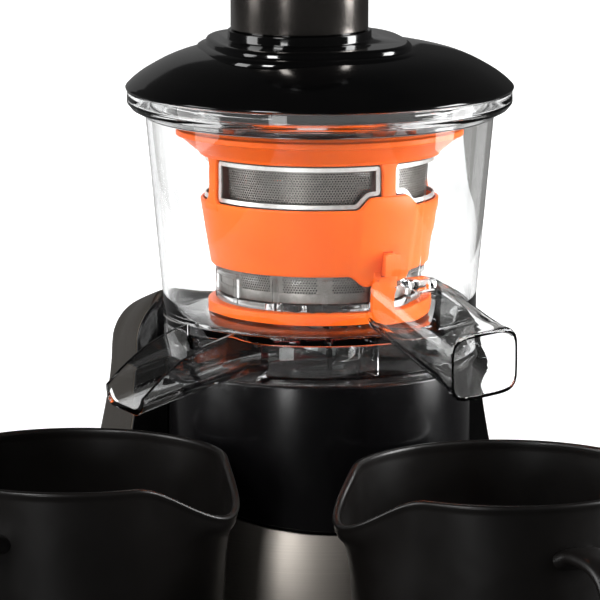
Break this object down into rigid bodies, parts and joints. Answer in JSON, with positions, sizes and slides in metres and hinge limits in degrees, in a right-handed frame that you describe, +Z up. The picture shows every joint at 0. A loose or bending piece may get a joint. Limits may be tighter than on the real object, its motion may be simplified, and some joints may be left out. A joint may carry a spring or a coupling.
{
  "type": "vertical slow juicer",
  "caption": "Vertical slow juicer with a clear juicing bowl, orange wiper frame, steel strainer, feed tube with pusher, geared motor base and two black jugs.",
  "frame": {"origin": "middle of the footprint of juicer and jugs, on the table top", "axes": "+Z up, -Y towards the front of the machine, +X to the machine's juice-spout side"},
  "size_m": [0.297, 0.3305, 0.373],
  "materials": {
    "graphite_metallic": "satin metallic",
    "gloss_black": "gloss",
    "satin_black": "satin",
    "brushed_steel": "brushed round the drum",
    "machine_steel": "machined",
    "rubber": "matt",
    "red_silicone": "matt silicone",
    "clear_plastic": "clear moulded",
    "orange_plastic": "satin moulded",
    "gunmetal": "satin metallic",
    "dark_plastic": "satin moulded",
    "white_plastic": "matt moulded",
    "brass": "machined",
    "circuit_board": "matt"
  },
  "bodies": {
    "base": {"rear_housing": "graphite_metallic", "column_liner": "gloss_black", "seat_housing": "satin_black", "steel_skirt": "brushed_steel", "base_plate": "satin_black", "foot_front_left": "rubber", "foot_front_right": "rubber", "foot_rear_left": "rubber", "foot_rear_right": "rubber", "base_screw_front_left": "machine_steel", "base_screw_front_right": "machine_steel", "base_screw_rear_left": "machine_steel", "base_screw_rear_right": "machine_steel", "cord_inlet_bush": "rubber", "switch_bezel": "satin_black", "motor_can": "machine_steel", "gearbox_tray": "dark_plastic", "gearbox_cover": "dark_plastic", "output_bush": "brass", "shaft_seal": "rubber", "control_board": "circuit_board", "run_capacitor": "white_plastic"},
    "rotor": {"motor_rotor": "machine_steel", "motor_fan": "white_plastic", "motor_pinion": "brass"},
    "cluster": {"counter_wheel": "white_plastic", "counter_pinion": "machine_steel", "counter_shaft": "machine_steel"},
    "output": {"output_wheel": "white_plastic", "drive_shaft": "machine_steel"},
    "rocker": {"switch_rocker": "gloss_black"},
    "bowl": {"juicing_bowl": "clear_plastic", "juice_spout": "clear_plastic", "pulp_chute": "clear_plastic", "floor_seal": "red_silicone", "pulp_outlet_seal": "red_silicone", "strainer_frame": "clear_plastic", "strainer_mesh": "brushed_steel", "strainer_top_ring": "clear_plastic", "idler_pin": "machine_steel"},
    "idler": {"idler_gear": "white_plastic"},
    "screw": {"auger": "dark_plastic"},
    "wiper": {"wiper_frame": "orange_plastic", "wiper_blade_front": "red_silicone", "wiper_blade_rear": "red_silicone"},
    "cover": {"lid": "gloss_black", "tube_sleeve": "gunmetal", "lid_seal": "rubber"},
    "pusher": {"pusher_body": "satin_black", "pusher_cap": "gloss_black"},
    "juice_catcher": {"juice_jug": "satin_black", "juice_jug_handle": "satin_black"},
    "pulp_catcher": {"pulp_jug": "satin_black", "pulp_jug_handle": "satin_black"}
  },
  "joints": [
    {"name": "drive_spin", "type": "hinge", "parent": "base", "child": "output", "pos_m": [0.03712, 0.05025, 0.098], "axis": [0, 0, 1], "continuous": true},
    {"name": "counter_spin", "type": "hinge", "parent": "base", "child": "cluster", "pos_m": [0.03712, 0.08625, 0.09], "axis": [0, 0, 1], "continuous": true},
    {"name": "motor_spin", "type": "hinge", "parent": "base", "child": "rotor", "pos_m": [0.03712, 0.05025, 0.045], "axis": [0, 0, 1], "continuous": true},
    {"name": "auger_spin", "type": "hinge", "parent": "bowl", "child": "screw", "pos_m": [0.03712, 0.05025, 0.19], "axis": [0, 0, 1], "continuous": true},
    {"name": "idler_spin", "type": "hinge", "parent": "bowl", "child": "idler", "pos_m": [0.01644, 0.06761, 0.172], "axis": [0, 0, 1], "continuous": true},
    {"name": "wiper_spin", "type": "hinge", "parent": "bowl", "child": "wiper", "pos_m": [0.03712, 0.05025, 0.172], "axis": [0, 0, 1], "continuous": true},
    {"name": "switch_rock", "type": "hinge", "parent": "base", "child": "rocker", "pos_m": [0.11792, 0.11225, 0.058], "axis": [0, 1, 0], "range_deg": [-6, 6]},
    {"name": "bowl_lift", "type": "slide", "parent": "base", "child": "bowl", "axis": [0, 0, 1], "range_m": [0, 0.07]},
    {"name": "lid_lift", "type": "slide", "parent": "bowl", "child": "cover", "axis": [0, 0, 1], "range_m": [0, 0.06]},
    {"name": "pusher_slide", "type": "slide", "parent": "cover", "child": "pusher", "axis": [0, 0, 1], "range_m": [0, 0.095]},
    {"name": "juice_jug_slide", "type": "slide", "parent": "base", "child": "juice_catcher", "axis": [0.3895, -0.921, 0], "range_m": [0, 0.14]},
    {"name": "pulp_jug_slide", "type": "slide", "parent": "base", "child": "pulp_catcher", "axis": [-0.8876, -0.4606, 0], "range_m": [0, 0.14]}
  ],
  "couplings": [
    {"joint": "counter_spin", "follows": "drive_spin", "ratio": -3.8},
    {"joint": "motor_spin", "follows": "drive_spin", "ratio": 14.44},
    {"joint": "auger_spin", "follows": "drive_spin", "ratio": 1},
    {"joint": "idler_spin", "follows": "drive_spin", "ratio": -1.25},
    {"joint": "wiper_spin", "follows": "drive_spin", "ratio": -0.38462}
  ]
}
